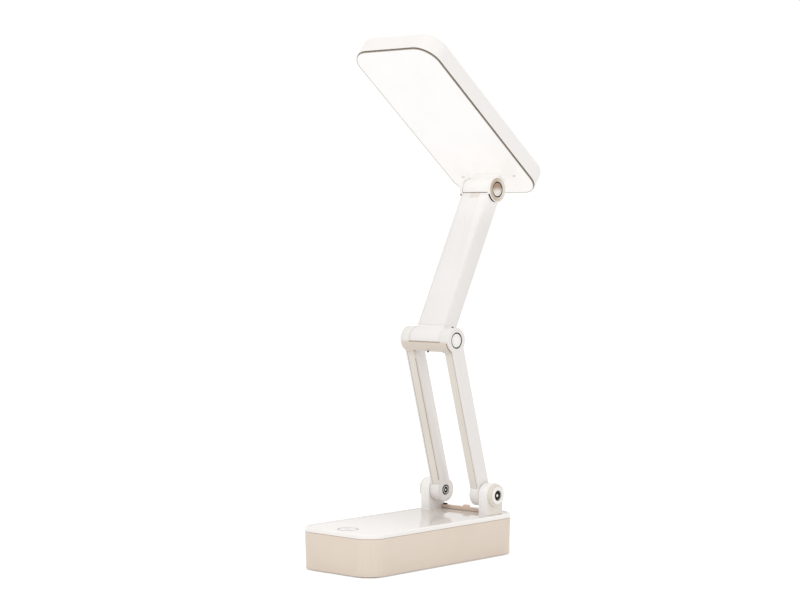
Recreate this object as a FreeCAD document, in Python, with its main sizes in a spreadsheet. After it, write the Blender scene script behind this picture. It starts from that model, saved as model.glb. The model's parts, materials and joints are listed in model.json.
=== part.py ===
import FreeCAD, Part
import math
import os
import re

import Sketcher
from FreeCAD import Placement, Rotation, Vector

# Accordion desk lamp in millimetres. +Z is up, -Y is the front, the origin is the middle of the
# rubber pad's underside. A base carries a two-legged lower arm, a flat upper arm and a lamp head.

SIZES = {
    # Base: a tray under a white cover, with a slight draft towards the foot
    "base_width": 72, "base_length": 161, "base_corner": 15, "base_draft": 0.8, "foot_inset": 4,
    "foot_thick": 1.2, "tray_bottom": 0.8, "tray_floor": 3.2, "tray_top": 27, "tray_wall": 2.2,
    "cover_bottom": 27.3, "cover_under": 28.2, "cover_top": 30.4, "cover_round": 0.8,
    "rim_width": 2.4, "panel_low": 29.6, "panel_high": 30.1, "lip_bottom": 25.2, "lip_thick": 1.4,
    "gap": 0.15,
    # Ring of the touch switch
    "touch_x": 0, "touch_y": -65, "touch_outer": 7.5, "touch_width": 0.9, "touch_low": 29.8,
    # What the base holds inside
    "ballast_thick": 5, "ballast_half": 24, "ballast_front": -62, "ballast_back": 16,
    "cell_radius": 9.1, "cell_length": 65, "cell_front": -50, "cell_x": -12, "cell_lift": 0.6,
    "board_bottom": 8, "board_thick": 1.6, "board_half": 20, "board_front": 27, "board_back": 75,
    "board_post_radius": 2, "contact_radius": 6, "contact_thick": 1, "touch_board_radius": 8.5,
    "touch_board_thick": 1.2, "lead_radius": 0.8, "lead_x": 16, "lead_lift": 1, "port_width": 9,
    "port_tall": 3.2, "port_deep": 7.3, "port_gap": 0.2, "boss_x": 27, "boss_y": 69,
    "boss_radius": 3.8, "boss_top": 24, "screw_radius": 1.25, "screw_head": 2.7,
    "screw_head_tall": 1.8,
    # Hinge between the base and the lower arm
    "pivot_y": 57, "pivot_z": 45, "pivot_radius": 1.5, "run_gap": 0.06, "seat_margin": 0.2,
    "tower_inner": 24.4, "tower_outer": 32.6, "tower_radius": 8.9, "hub_radius": 8.2,
    "hub_out": 34.4, "hub_face_radius": 6.5, "hub_face_out": 35.8, "hub_hole": 3.9,
    "hub_hole_in": 32.9, "nut_radius": 3.6, "nut_out": 34.9, "washer_radius": 6,
    "washer_thick": 0.5, "pivot_head_radius": 3.5, "pivot_head_in": 15.3, "pivot_head_out": 17.1,
    "pivot_head_round": 0.5, "pivot_seat_radius": 3.9, "pivot_seat": 17.25, "cross_long": 2.2,
    "cross_half": 0.45, "cross_deep": 0.9, "bracket_screw_x": 28.5, "bracket_screw_y": 4,
    "bracket_screw_top": 38, "tie_thick": 3.6, "tie_high": 32.8, "tie_screw_x": 21.9,
    "tie_screw_radius": 1, "tie_screw_head": 1.6, "tie_screw_tall": 0.9, "stop_x": -1,
    "stop_half": 2.5, "stop_top": 34.4, "stop_corner": 1,
    # Lower arm: two legs behind one front shell, each with a side cover
    "lower_length": 119.5, "leg_inner": 15.2, "leg_split": 22, "leg_outer": 23.6, "leg_half": 6,
    "leg_blend": 3, "seam": 0.4, "front_thick": 2.2, "knuckle_radius": 8.7, "ear_radius": 9.3,
    "band_radius": 10.2, "band_above": 1, "band_below": 6, "band_fillet": 3, "front_foot": 6.6,
    "edge_round": 0.6, "channel_half": 1.7, "channel_deep": 3.8, "channel_foot": 15,
    "channel_stop": 16, "wire_radius": 1, "pin_radius": 2.5, "pin_reach": 12, "pin_bore": 1.2,
    "cap_radius": 5, "cap_gap": 0.95, "cap_deep": 1, "cap_sink": 0.15, "cap_edge": 0.3,
    "groove_radius": 3.7, "groove_wide": 0.35, "groove_deep": 0.3, "ring_sink": 0.3,
    # Upper arm: one flat bar with a barrel at the elbow and two ears at the head
    "upper_length": 124, "bar_half_wide": 13.2, "bar_half_deep": 6.2, "bar_lip": 0.8,
    "barrel_radius": 9, "barrel_half": 15, "bush_radius": 4, "bush_long": 2.8, "barrel_bore": 3,
    "fork_inner": 12.8, "fork_outer": 14.8, "fork_radius": 9.4, "fork_notch": 8.45, "tab_half": 4.8,
    "tab_tall": 3.8, "tab_proud": 0.35, "tab_drop": 0.3, "tab_corner": 0.8,
    # Lamp head, described folded down over the base, with its hinge axis at the origin
    "head_half": 38.7, "head_back": 19, "head_front": -143, "head_corner": 16, "head_high": 28.4,
    "head_round": 5, "head_wall": 2, "trim_inset": 0.25, "trim_low": 12.3, "trim_high": 13.3,
    "lens_low": 11.95, "lens_high": 13.8, "lens_inset": 0.6, "neck_half": 4.5, "neck_radius": 8.1,
    "neck_half_wide": 12.5, "flange_low": 16, "flange_high": 18.5, "flange_half_x": 21.5,
    "flange_half_y": 9, "flange_corner": 2, "flange_post_radius": 3, "flange_screw_x": 17.6,
    "flange_screw_y": 5.5, "clip_x": 25, "clip_y": -1, "clip_half": 1.5, "clip_thin": 0.4,
    "led_low": 19.1, "led_board_low": 20, "spreader_low": 21.6, "spreader_high": 22.6,
    "led_half_x": 28, "led_front": -132, "led_back": -28, "led_size": 3, "head_post_x": 23,
    "head_post_radius": 2.6,
    # Pose: each arm's lean from upright and the head's rise from level, in degrees
    "lower_lean": 15.8, "upper_lean": 27.2, "head_rise": 38.1,
}

doc = FreeCAD.newDocument("accordion_desk_lamp")
sheet = doc.addObject("Spreadsheet::Sheet", "sizes")
for row, (alias, number) in enumerate(SIZES.items(), 1):
    sheet.set(f"A{row}", alias)
    sheet.set(f"B{row}", str(number))
    sheet.setAlias(f"B{row}", alias)
doc.recompute()

pieces = []
X_AXIS = Vector(1, 0, 0)
LAMP_SIDES = (("left", -1), ("right", 1))
NEAR = 0.01  # how close an edge must lie to the place that picks it


def bound(words):
    """An expression with every named size pointed at the sheet."""
    return re.sub(r"[a-z]\w*", lambda found: "sizes." + found[0] if found[0] in SIZES else found[0],
                  str(words))


def value(words):
    return float(sheet.evalExpression(str(words)))


def bind(thing, **settings):
    for name, words in settings.items():
        thing.setExpression(name.replace("_", "."), bound(words))


def keep(thing, label, place=None):
    """Names a finished piece and puts it in its place."""
    thing.Label = label
    if place:
        thing.Placement = place
    pieces.append(thing)
    return thing


# Sketches and features

def fix_place(sketch, geometry, vertex, across, up):
    for kind, words in (("DistanceX", across), ("DistanceY", up)):
        if words is None:
            continue
        constraint = Sketcher.Constraint(kind, -1, 1, geometry, vertex, value(words))
        number = sketch.addConstraint(constraint)
        sketch.setExpression(f"Constraints[{number}]", bound(words))


def fix_radius(sketch, geometry, radius):
    number = sketch.addConstraint(Sketcher.Constraint("Radius", geometry, value(radius)))
    sketch.setExpression(f"Constraints[{number}]", bound(radius))


def disc(across, up, radius):
    """A circle for a sketch."""
    def trace(sketch):
        centre = Vector(value(across), value(up), 0)
        circle = sketch.addGeometry(Part.Circle(centre, Vector(0, 0, 1), value(radius)), False)
        fix_place(sketch, circle, 3, across, up)
        fix_radius(sketch, circle, radius)
    return trace


def oblong(left, right, low, high):
    """A rectangle for a sketch."""
    corners = [(left, low), (right, low), (right, high), (left, high)]

    def trace(sketch):
        first = sketch.GeometryCount
        places = [Vector(value(across), value(up), 0) for across, up in corners]
        for number, place in enumerate(places):
            sketch.addGeometry(Part.LineSegment(place, places[(number + 1) % 4]), False)
        for number, (across, up) in enumerate(corners):
            following = first + (number + 1) % 4
            sketch.addConstraint(Sketcher.Constraint("Coincident", first + number, 2, following, 1))
            fix_place(sketch, first + number, 1, across, up)
    return trace


def rounded(left, right, low, high, radius):
    """A rectangle with round corners for a sketch: four sides, each followed by its corner arc."""
    def trace(sketch):
        first = sketch.GeometryCount
        x_low, x_high, y_low, y_high = (value(words) for words in (left, right, low, high))
        corner = value(radius)
        ends = [((x_low + corner, y_low), (x_high - corner, y_low)),
                ((x_high, y_low + corner), (x_high, y_high - corner)),
                ((x_high - corner, y_high), (x_low + corner, y_high)),
                ((x_low, y_high - corner), (x_low, y_low + corner))]
        centres = [(x_high - corner, y_low + corner), (x_high - corner, y_high - corner),
                   (x_low + corner, y_high - corner), (x_low + corner, y_low + corner)]
        for number, ((start, end), centre) in enumerate(zip(ends, centres)):
            sketch.addGeometry(Part.LineSegment(Vector(*start, 0), Vector(*end, 0)), False)
            circle = Part.Circle(Vector(*centre, 0), Vector(0, 0, 1), corner)
            angle = (number - 1) * math.pi / 2
            sketch.addGeometry(Part.ArcOfCircle(circle, angle, angle + math.pi / 2), False)
        for number in range(4):
            line, arc = first + 2 * number, first + 2 * number + 1
            following = first + (2 * number + 2) % 8
            sketch.addConstraint(Sketcher.Constraint("Tangent", line, 2, arc, 1))
            sketch.addConstraint(Sketcher.Constraint("Tangent", arc, 2, following, 1))
            sketch.addConstraint(Sketcher.Constraint("Vertical" if number % 2 else "Horizontal",
                                                     line))
            if number:
                sketch.addConstraint(Sketcher.Constraint("Equal", first + 1, arc))
        fix_radius(sketch, first + 1, radius)
        fix_place(sketch, first, 1, None, low)
        fix_place(sketch, first + 2, 1, right, None)
        fix_place(sketch, first + 4, 1, None, high)
        fix_place(sketch, first + 6, 1, left, None)
    return trace


def middle(half_wide, half_long, radius):
    return rounded(f"-({half_wide})", half_wide, f"-({half_long})", half_long, radius)


def middle_between(half, low, high):
    return oblong(f"-({half})", half, low, high)


def leg_outline(sketch):
    """A leg seen from its side: the ear above, the knuckle at the origin and straight flanks,
    all joined by hollow blends."""
    half, blend, top = value("leg_half"), value("leg_blend"), value("lower_length")
    ear, knuckle = value("ear_radius"), value("knuckle_radius")
    upright = Vector(0, 0, 1)

    def arc(across, up, radius, start, end):
        circle = Part.Circle(Vector(across, up, 0), upright, radius)
        return sketch.addGeometry(Part.ArcOfCircle(circle, start, end), False)

    def flank(across, start, end):
        return sketch.addGeometry(Part.LineSegment(Vector(across, start, 0),
                                                   Vector(across, end, 0)), False)

    aside = half + blend
    above, below = (math.sqrt((radius + blend) ** 2 - aside ** 2) for radius in (ear, knuckle))
    high, low = math.atan2(above, aside), math.atan2(below, aside)
    turn = math.pi
    parts = [arc(0, top, ear, -high, turn + high), arc(-aside, top - above, blend, 0, high),
             flank(-half, top - above, below), arc(-aside, below, blend, -low, 0),
             arc(0, 0, knuckle, turn - low, 2 * turn + low),
             arc(aside, below, blend, turn, turn + low), flank(half, below, top - above),
             arc(aside, top - above, blend, turn - high, turn)]
    joins = [(0, 2, 1, 2), (1, 1, 2, 1), (2, 2, 3, 2), (3, 1, 4, 1), (4, 2, 5, 2), (5, 1, 6, 1),
             (6, 2, 7, 2), (7, 1, 0, 1)]
    for one, its_end, other, other_end in joins:
        sketch.addConstraint(Sketcher.Constraint("Tangent", parts[one], its_end, parts[other],
                                                 other_end))
    for number, radius in ((0, "ear_radius"), (4, "knuckle_radius"), (1, "leg_blend")):
        fix_radius(sketch, parts[number], radius)
    for number in (3, 5, 7):
        sketch.addConstraint(Sketcher.Constraint("Equal", parts[1], parts[number]))
    fix_place(sketch, parts[0], 3, "0", "lower_length")
    fix_place(sketch, parts[4], 3, "0", "0")
    for number, across in ((2, "-leg_half"), (6, "leg_half")):
        sketch.addConstraint(Sketcher.Constraint("Vertical", parts[number]))
        fix_place(sketch, parts[number], 1, across, None)


def draw(body, plane, offset, shapes):
    """A sketch of closed outlines on one of the body's own planes."""
    sketch = body.newObject("Sketcher::SketchObject", "outline")
    origin = [item for item in body.Origin.OriginFeatures if item.Role == plane]
    sketch.AttachmentSupport = [(origin[0], "")]
    sketch.MapMode = "FlatFace"
    sketch.setExpression("AttachmentOffset.Base.z", bound(offset))
    for shape in shapes:
        shape(sketch)
    return sketch


def new_body(name):
    return doc.addObject("PartDesign::Body", name)


def pad(body, plane, start, end, *shapes):
    feature = body.newObject("PartDesign::Pad", "pad")
    feature.Profile = draw(body, plane, start, shapes)
    bind(feature, Length=f"({end}) - ({start})")
    return feature


def pocket(body, plane, start, end, *shapes):
    """Cuts from end back to start, so that it always points into the solid."""
    feature = body.newObject("PartDesign::Pocket", "pocket")
    feature.Profile = draw(body, plane, end, shapes)
    bind(feature, Length=f"({end}) - ({start})")
    doc.recompute()
    before = feature.BaseFeature.Shape.Volume
    if before - feature.Shape.Volume < 1e-3:
        raise RuntimeError(f"{body.Name}: a pocket cuts nothing")
    return feature


def round_edges(body, radius, wanted):
    doc.recompute()
    tip = body.Tip
    names = [f"Edge{number}" for number, edge in enumerate(tip.Shape.Edges, 1) if wanted(edge)]
    if not names:
        raise RuntimeError(f"{body.Name}: no edge to round")
    feature = body.newObject("PartDesign::Fillet", "round")
    feature.Base = (tip, names)
    bind(feature, Radius=radius)
    return feature


def level(axis, height):
    """Picks edges that lie flat in one plane square to an axis."""
    low, high = axis + "Min", axis + "Max"
    return lambda edge: (abs(getattr(edge.BoundBox, low) - height) < NEAR
                         and abs(getattr(edge.BoundBox, high) - height) < NEAR)


def span(side, near, far):
    """A stretch of X on the right side, or its mirror image on the left."""
    return (near, far) if side > 0 else (f"-({far})", f"-({near})")


def cylinder(name, radius, start, end, axis="x", across="0", up="0"):
    """A round bar along X (placed by y and z), Y (x and z) or Z (x and y)."""
    bar = doc.addObject("Part::Cylinder", name)
    turn = {"x": Rotation(Vector(0, 1, 0), 90), "y": Rotation(X_AXIS, -90), "z": Rotation()}[axis]
    bar.Placement = Placement(Vector(), turn)
    bind(bar, Radius=radius, Height=f"({end}) - ({start})")
    places = {"x": (start, across, up), "y": (across, start, up), "z": (across, up, start)}[axis]
    for letter, words in zip("xyz", places):
        bar.setExpression(f"Placement.Base.{letter}", bound(words))
    return bar


def block(name, x, y, z):
    """A box between two places on each axis."""
    box = doc.addObject("Part::Box", name)
    bind(box, Length=f"({x[1]}) - ({x[0]})", Width=f"({y[1]}) - ({y[0]})",
         Height=f"({z[1]}) - ({z[0]})")
    for letter, ends in zip("xyz", (x, y, z)):
        box.setExpression(f"Placement.Base.{letter}", bound(ends[0]))
    return box


def cut(name, base, *tools):
    if len(tools) > 1:
        tools = [fuse(name + "_tools", *tools)]
    result = doc.addObject("Part::Cut", name)
    result.Base, result.Tool = base, tools[0]
    return result


def fuse(name, *shapes):
    result = doc.addObject("Part::MultiFuse", name)
    result.Shapes = list(shapes)
    return result


def group(name, *shapes):
    result = doc.addObject("Part::Compound", name)
    result.Links = list(shapes)
    return result


def tube(name, outer, inner, start, end, axis="x", across="0", up="0"):
    return cut(name, cylinder(name + "_outside", outer, start, end, axis, across, up),
               cylinder(name + "_bore", inner, start, end, axis, across, up))


# Frames of the moving pieces: origin on the lower hinge axis, +Z along the arm, -Y the front

lower = Placement(Vector(0, value("pivot_y"), value("pivot_z")),
                  Rotation(X_AXIS, value("lower_lean")))
elbow_point = lower.multVec(Vector(0, 0, value("lower_length")))
upper = Placement(elbow_point, Rotation(X_AXIS, -value("upper_lean")))
head_point = upper.multVec(Vector(0, 0, value("upper_length")))
head = Placement(head_point, Rotation(X_AXIS, -value("head_rise")))
CORNER_SIGNS = [(x, y) for x in (-1, 1) for y in (-1, 1)]


# Base

def base_plan(inset):
    """The base's outline, drawn in by an inset."""
    return middle(f"base_width / 2 - {inset}", f"base_length / 2 - {inset}",
                  f"base_corner - {inset}")


def boss_discs(radius):
    return [disc(f"{x} * boss_x", f"{y} * boss_y", radius) for x, y in CORNER_SIGNS]


def make_foot_pad():
    body = new_body("anti_slip_pad")
    pad(body, "XY_Plane", "0", "foot_thick", base_plan("foot_inset"))
    keep(body, "anti_slip_pad")


def make_tray():
    body = new_body("base_tray")
    slab = pad(body, "XY_Plane", "tray_bottom", "tray_top", base_plan("base_draft"))
    slab.setExpression("TaperAngle", bound("atan(base_draft / (tray_top - tray_bottom))"))
    pocket(body, "XY_Plane", "tray_floor", "tray_top", base_plan("tray_wall"))
    pocket(body, "XY_Plane", "tray_bottom", "foot_thick", base_plan("(foot_inset - gap)"))
    pad(body, "XY_Plane", "tray_floor", "boss_top", *boss_discs("boss_radius"))
    pocket(body, "XY_Plane", "foot_thick", "boss_top", *boss_discs("screw_radius + gap"))
    pocket(body, "XY_Plane", "foot_thick", "tray_floor", *boss_discs("screw_head + gap"))
    posts = [disc(f"{x} * (board_half - 3)", y, "board_post_radius") for x in (-1, 1)
             for y in ("board_front + 3", "board_back - 12")]
    pad(body, "XY_Plane", "tray_floor", "board_bottom", *posts)
    low = "board_bottom + board_thick - port_gap"
    pocket(body, "XZ_Plane", "-(base_length / 2 + 1)", "-(base_length / 2 - tray_wall - 1)",
           oblong("-(port_width / 2 + port_gap)", "port_width / 2 + port_gap",
                  low, f"{low} + port_tall + 2 * port_gap"))
    keep(body, "base_tray")


def make_cover():
    body = new_body("base_cover")
    pad(body, "XY_Plane", "cover_bottom", "cover_top", base_plan("0"))
    round_edges(body, "cover_round", level("Z", value("cover_top")))
    pocket(body, "XY_Plane", "panel_low", "cover_top", base_plan("rim_width"))
    pocket(body, "XY_Plane", "cover_bottom", "cover_under", base_plan("(tray_wall + gap)"))
    pad(body, "XY_Plane", "lip_bottom", "cover_under", base_plan("(tray_wall + gap)"),
        base_plan("(tray_wall + gap + lip_thick)"))
    pad(body, "XY_Plane", "boss_top", "cover_under", *boss_discs("boss_radius - 0.6"))
    pocket(body, "XY_Plane", "boss_top", "cover_under", *boss_discs("screw_radius"))
    seats, holes = [], []
    for _, side in LAMP_SIDES:
        left, right = span(side, "tower_inner - seat_margin", "base_width / 2 - rim_width / 2")
        seats.append(oblong(left, right, "pivot_y - tower_radius - seat_margin",
                            "pivot_y + tower_radius + seat_margin"))
        holes += [disc(f"{side} * bracket_screw_x", f"pivot_y + {end} * bracket_screw_y",
                       "screw_radius + gap") for end in (-1, 1)]
    pad(body, "XY_Plane", "cover_under", "cover_top", *seats)
    pocket(body, "XY_Plane", "cover_under", "cover_top", *holes)
    keep(body, "base_cover")


def make_panel():
    body = new_body("top_panel")
    pad(body, "XY_Plane", "panel_low", "panel_high", base_plan("(rim_width + gap)"))
    reach = "(tower_radius + seat_margin + gap)"
    notches = [oblong(*span(side, "tower_inner - seat_margin - gap", "base_width / 2"),
                      f"pivot_y - {reach}", f"pivot_y + {reach}") for _, side in LAMP_SIDES]
    pocket(body, "XY_Plane", "panel_low", "panel_high", *notches)
    pocket(body, "XY_Plane", "touch_low", "panel_high",
           disc("touch_x", "touch_y", "touch_outer"),
           disc("touch_x", "touch_y", "touch_outer - touch_width"))
    keep(body, "top_panel")


def make_touch_switch():
    keep(tube("touch_ring", "touch_outer", "touch_outer - touch_width", "touch_low",
              "panel_high + 0.05", "z", "touch_x", "touch_y"), "touch_ring")
    board_top = "cover_under - contact_thick"
    keep(cylinder("touch_contact", "contact_radius", board_top, "cover_under", "z",
                  "touch_x", "touch_y"), "touch_contact")
    keep(cylinder("touch_board", "touch_board_radius", f"{board_top} - touch_board_thick",
                  board_top, "z", "touch_x", "touch_y"), "touch_board")
    keep(cylinder("touch_lead", "lead_radius", "touch_y + contact_radius", "board_front", "y",
                  "lead_x", "tray_floor + ballast_thick + lead_lift"), "touch_lead")


def make_power():
    top = "tray_floor + ballast_thick"
    keep(block("ballast_plate", ("-ballast_half", "ballast_half"),
               ("ballast_front", "ballast_back"), ("tray_floor", top)), "ballast_plate")
    centre = f"{top} + cell_radius + cell_lift"
    cell_back = "cell_front + cell_length"
    cell = cylinder("battery_cell", "cell_radius", "cell_front", cell_back, "y", "cell_x", centre)
    saddles = []
    for number, near in enumerate(("cell_front + 4", "cell_front + 55")):
        pillow = block(f"saddle_{number}", ("cell_x - 10", "cell_x + 10"), (near, f"{near} + 6"),
                       (top, f"{top} + 4"))
        room = cylinder(f"saddle_room_{number}", "cell_radius", "cell_front", cell_back, "y",
                        "cell_x", centre)
        saddles.append(cut(f"saddle_cut_{number}", pillow, room))
    keep(cell, "battery_cell")
    keep(group("battery_cradle", *saddles), "battery_cradle")
    board_top = "board_bottom + board_thick"
    keep(block("main_board", ("-board_half", "board_half"), ("board_front", "board_back"),
               ("board_bottom", board_top)), "main_board")
    back = "base_length / 2 - tray_wall - 0.2"
    half = "port_width / 2"
    shell = block("port_shell", (f"-({half})", half), (f"{back} - port_deep", back),
                  (board_top, f"{board_top} + port_tall"))
    mouth = block("port_mouth", (f"-({half} - 0.4)", f"{half} - 0.4"), (f"{back} - 6", back),
                  (f"{board_top} + 0.4", f"{board_top} + port_tall - 0.4"))
    tongue = block("port_tongue", (f"-({half} - 1.3)", f"{half} - 1.3"),
                   (f"{back} - 6.5", f"{back} - 0.8"),
                   (f"{board_top} + port_tall / 2 - 0.35", f"{board_top} + port_tall / 2 + 0.35"))
    keep(fuse("charging_port", cut("port_hollow", shell, mouth), tongue), "charging_port")


def screw(name, x, y, head, rest, tip):
    """An upright screw whose head lies between head and rest and whose shank ends at tip."""
    return fuse(name, cylinder(name + "_head", "screw_head", head, rest, "z", x, y),
                cylinder(name + "_shank", "screw_radius", rest, tip, "z", x, y))


def make_base_screws():
    screws = [screw(f"base_screw_{number}", f"{x} * boss_x", f"{y} * boss_y",
                    "tray_floor - screw_head_tall", "tray_floor", "cover_under - 0.2")
              for number, (x, y) in enumerate(CORNER_SIGNS)]
    keep(group("base_screws", *screws), "base_screws")
    screws = [screw(f"bracket_screw_{number}", f"{x} * bracket_screw_x",
                    f"pivot_y + {y} * bracket_screw_y", "cover_under - screw_head_tall",
                    "cover_under", "bracket_screw_top")
              for number, (x, y) in enumerate(CORNER_SIGNS)]
    keep(group("bracket_screws", *screws), "bracket_screws")


# Hinge between the base and the lower arm

def make_bracket(name, side):
    body = new_body(f"{name}_hinge_bracket")
    low, high = "pivot_y - tower_radius", "pivot_y + tower_radius"
    tower = span(side, "tower_inner", "tower_outer")
    axis = ("pivot_y", "pivot_z")
    pad(body, "YZ_Plane", *tower, oblong(low, high, "cover_top", "pivot_z"))
    pad(body, "YZ_Plane", *tower, disc(*axis, "tower_radius"))
    round_edges(body, "edge_round", level("X", side * value("tower_outer")))
    pad(body, "YZ_Plane", *span(side, "tower_outer - 1", "hub_out"), disc(*axis, "hub_radius"))
    pad(body, "YZ_Plane", *span(side, "hub_out - 1", "hub_face_out"),
        disc(*axis, "hub_face_radius"))
    round_edges(body, "edge_round", level("X", side * value("hub_face_out")))
    pocket(body, "YZ_Plane", *span(side, "hub_hole_in", "hub_face_out"), disc(*axis, "hub_hole"))
    pocket(body, "YZ_Plane", *span(side, "tower_inner", "hub_out"),
           disc(*axis, "pivot_radius + gap"))
    pocket(body, "XY_Plane", "cover_top", "bracket_screw_top",
           *[disc(f"{side} * bracket_screw_x", f"pivot_y + {end} * bracket_screw_y",
                  "screw_radius") for end in (-1, 1)])
    keep(body, f"{name}_hinge_bracket")


def make_pivot(name, side):
    """The screw that the leg turns on, with a cross in its head, its nut and friction washer."""
    axis = ("pivot_y", "pivot_z")
    body = new_body(f"{name}_pivot_screw")
    pad(body, "YZ_Plane", *span(side, "pivot_head_in", "pivot_head_out"),
        disc(*axis, "pivot_head_radius"))
    round_edges(body, "pivot_head_round", level("X", side * value("pivot_head_in")))
    pad(body, "YZ_Plane", *span(side, "pivot_head_out - 0.5", "nut_out - 0.2"),
        disc(*axis, "pivot_radius"))
    slots = (("cross_long", "cross_half"), ("cross_half", "cross_long"))
    for half_y, half_z in slots:
        recess = span(side, "pivot_head_in", "pivot_head_in + cross_deep")
        pocket(body, "YZ_Plane", *recess, oblong(f"pivot_y - {half_y}", f"pivot_y + {half_y}",
                                                 f"pivot_z - {half_z}", f"pivot_z + {half_z}"))
    keep(body, f"{name}_pivot_screw")
    near, far = span(side, "tower_inner - gap - washer_thick", "tower_inner - gap")
    keep(tube(f"{name}_friction_washer", "washer_radius", "pivot_radius + gap", near, far,
              "x", *axis), f"{name}_friction_washer")
    near, far = span(side, "hub_hole_in", "nut_out")
    nut = doc.addObject("Part::Prism", f"{name}_nut_blank")
    nut.Polygon = 6
    nut.Placement = Placement(Vector(), Rotation(Vector(0, 1, 0), 90))
    bind(nut, Circumradius="nut_radius", Height=f"({far}) - ({near})")
    for letter, words in zip("xyz", (near, *axis)):
        nut.setExpression(f"Placement.Base.{letter}", bound(words))
    keep(cut(f"{name}_pivot_nut", nut, cylinder(f"{name}_nut_thread", "pivot_radius", near, far,
                                                "x", *axis)), f"{name}_pivot_nut")


def make_tie_bar():
    """A low bar between the brackets' rear ends, with a stop on it for the folded upper arm."""
    back = "pivot_y + tower_radius"
    depth = (f"{back} - tie_thick", back)
    body = new_body("hinge_tie_bar")
    pad(body, "XY_Plane", "cover_top", "tie_high", oblong("-tower_inner", "tower_inner", *depth))
    pad(body, "XY_Plane", "tie_high - edge_round", "stop_top",
        rounded("stop_x - stop_half", "stop_x + stop_half", *depth, "stop_corner"))
    round_edges(body, "edge_round", level("Z", value("stop_top")))
    centres = [(f"{side} * tie_screw_x", f"{back} - tie_thick / 2") for _, side in LAMP_SIDES]
    pocket(body, "XY_Plane", "cover_top", "tie_high",
           *[disc(x, y, "tie_screw_radius") for x, y in centres])
    keep(body, "hinge_tie_bar")
    screws = []
    for number, (x, y) in enumerate(centres):
        head = cylinder(f"tie_screw_head_{number}", "tie_screw_head", "tie_high",
                        "tie_high + tie_screw_tall", "z", x, y)
        shank = cylinder(f"tie_screw_shank_{number}", "tie_screw_radius", "cover_top", "tie_high",
                         "z", x, y)
        screws.append(fuse(f"tie_screw_{number}", head, shank))
    keep(group("tie_bar_screws", *screws), "tie_bar_screws")


# Lower arm

def make_leg(name, side):
    body = new_body(f"{name}_leg_shell")
    across = span(side, "leg_inner", "leg_split")
    elbow = ("0", "lower_length")
    pad(body, "YZ_Plane", *across, oblong("-(leg_half - front_thick)", "leg_half", "0",
                                          "lower_length"))
    pad(body, "YZ_Plane", *across, disc("0", "0", "knuckle_radius"))
    pocket(body, "YZ_Plane", *across, oblong("-knuckle_radius", "-(leg_half - front_thick)",
                                             "front_foot - gap", "lower_length / 2"))
    pad(body, "YZ_Plane", *across, disc(*elbow, "ear_radius"))
    centre = f"{side} * (leg_inner + leg_split) / 2"
    pocket(body, "XZ_Plane", "-channel_deep", "leg_half - front_thick",
           oblong(f"{centre} - channel_half", f"{centre} + channel_half", "channel_foot",
                  "lower_length - channel_stop"))
    pocket(body, "YZ_Plane", *across, disc("0", "0", "pivot_radius + run_gap"),
           disc(*elbow, "pin_radius"))
    pocket(body, "YZ_Plane", *span(side, "leg_inner", "pivot_seat"),
           disc("0", "0", "pivot_seat_radius"))
    keep(body, f"{name}_leg_shell", lower)
    body = new_body(f"{name}_leg_cover")
    across = span(side, "leg_split", "leg_outer")
    pad(body, "YZ_Plane", *across, leg_outline)
    round_edges(body, "edge_round", level("X", side * value("leg_outer")))
    pocket(body, "YZ_Plane", *across, disc("0", "0", "pivot_radius + run_gap"))
    pocket(body, "YZ_Plane", *span(side, "leg_outer - cap_deep", "leg_outer"),
           disc(*elbow, "cap_radius + cap_gap"))
    pocket(body, "YZ_Plane", *across, disc(*elbow, "pin_radius"))
    keep(body, f"{name}_leg_cover", lower)


def make_front_shell():
    """The n-shaped front of the lower arm, whose top wraps the lower front of the elbow."""
    front_view = new_body("front_outline")
    half = "leg_split - seam"
    pad(front_view, "XZ_Plane", "leg_half - front_thick", "band_radius + 0.1",
        middle_between(half, "front_foot", "lower_length + band_above"))
    pocket(front_view, "XZ_Plane", "leg_half - front_thick", "band_radius + 0.1",
           middle_between("leg_inner", "front_foot", "lower_length - band_below"))
    crown = value("lower_length - band_below")
    round_edges(front_view, "band_fillet",
                lambda edge: (edge.BoundBox.YLength > 2 and abs(edge.BoundBox.Center.z - crown) < 0.1
                              and edge.BoundBox.ZLength < 0.01))
    near, far = f"-({half})", half
    wrap = cylinder("front_wrap", "band_radius", near, far, "x", "0", "lower_length")
    face = block("front_face", (near, far), ("-leg_half", "0"), ("0", "lower_length"))
    room = cylinder("front_room", "ear_radius", near, far, "x", "0", "lower_length")
    side_view = cut("front_side_view", fuse("front_blank", wrap, face), room)
    shell = doc.addObject("Part::Common", "lower_front_shell")
    shell.Base, shell.Tool = front_view, side_view
    keep(shell, "lower_front_shell", lower)


def make_caps_and_pins(joint, place, up, ear_in, ear_out, inner_end):
    """Hollow hinge pins held in the ears, with a flat cap and its clamping ring let into each."""
    for name, side in LAMP_SIDES:
        near, far = span(side, inner_end, f"{ear_out} - cap_deep")
        keep(tube(f"{name}_{joint}_pin", "pin_radius", "pin_bore", near, far, "x", "0", up),
             f"{name}_{joint}_pin", place)
        near, far = span(side, f"{ear_out} - cap_deep", f"{ear_out} - ring_sink")
        keep(tube(f"{name}_{joint}_ring", "cap_radius + cap_gap - 0.05", "cap_radius + 0.05", near,
                  far, "x", "0", up), f"{name}_{joint}_ring", place)
        near, far = span(side, f"{ear_out} - cap_deep", f"{ear_out} - cap_sink")
        body = new_body(f"{name}_{joint}_cap")
        pad(body, "YZ_Plane", near, far, disc("0", up, "cap_radius"))
        round_edges(body, "cap_edge", level("X", side * value(f"{ear_out} - cap_sink")))
        groove = span(side, f"{ear_out} - cap_sink - groove_deep", f"{ear_out} - cap_sink")
        pocket(body, "YZ_Plane", *groove, disc("0", up, "groove_radius"),
               disc("0", up, "groove_radius - groove_wide"))
        keep(body, f"{name}_{joint}_cap", place)


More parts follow.
